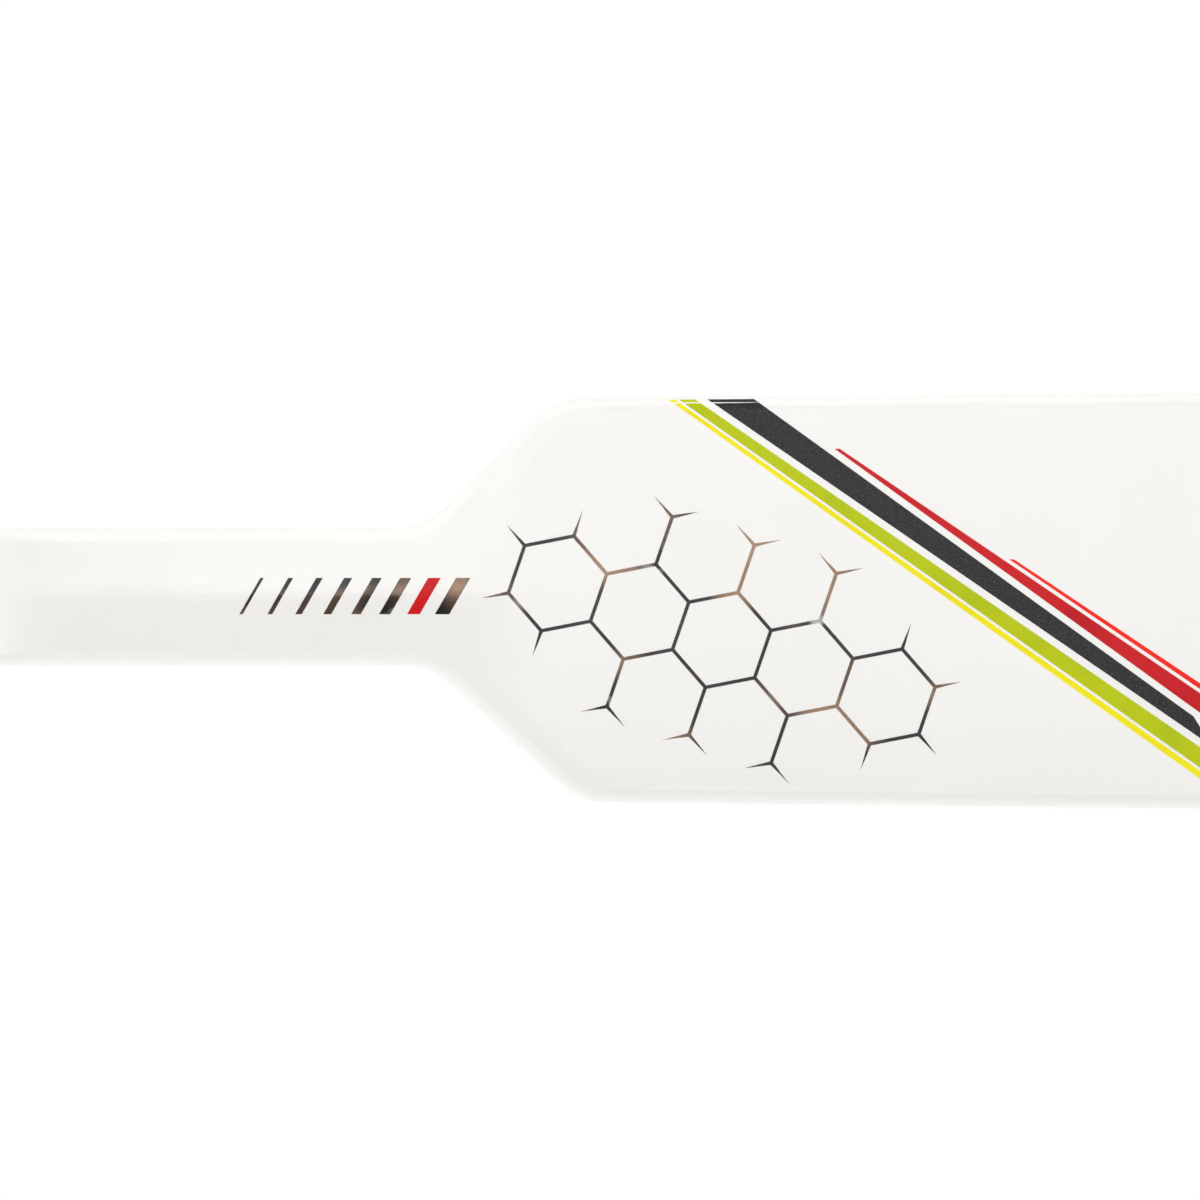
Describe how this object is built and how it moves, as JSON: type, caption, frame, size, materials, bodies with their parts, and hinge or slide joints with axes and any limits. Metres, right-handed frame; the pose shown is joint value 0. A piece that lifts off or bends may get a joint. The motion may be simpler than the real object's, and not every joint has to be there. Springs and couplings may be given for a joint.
{
  "type": "hockey goalie stick",
  "caption": "White composite ice hockey goalie stick: hollow shaft with a five-sided grip at the neck, wide foam-cored paddle with sloping shoulders, curved blade, and a butt plug that pulls out.",
  "frame": {"origin": "on the flat back, on the shaft's centre line at the throat, where the shaft opens into the paddle", "axes": "+X along the shaft from the butt end towards the heel, +Y across the paddle towards the blade's toe, +Z out of the front face; the stick lies on its flat back"},
  "size_m": [1.6593, 0.3717, 0.038],
  "materials": {
    "white_shell": "white lacquer over moulded composite",
    "black_plug": "moulded plastic",
    "foam": "rigid foam",
    "laminate": "cured fibre laminate",
    "filler": "cast filled resin"
  },
  "bodies": {
    "stick": {"shaft_tube": "white_shell", "shaft_bung": "foam", "paddle_front_shell": "white_shell", "paddle_back_shell": "white_shell", "paddle_spine": "laminate", "paddle_core_upper": "foam", "paddle_core_lower": "foam", "heel_block": "filler", "blade_front_shell": "white_shell", "blade_back_shell": "white_shell", "blade_rib": "laminate", "blade_core_upper": "foam", "blade_core_lower": "foam"},
    "plug": {"butt_plug": "black_plug"}
  },
  "joints": [
    {"name": "plug_pull", "type": "slide", "parent": "stick", "child": "plug", "axis": [-1, 0, 0], "range_m": [0, 0.06]}
  ]
}
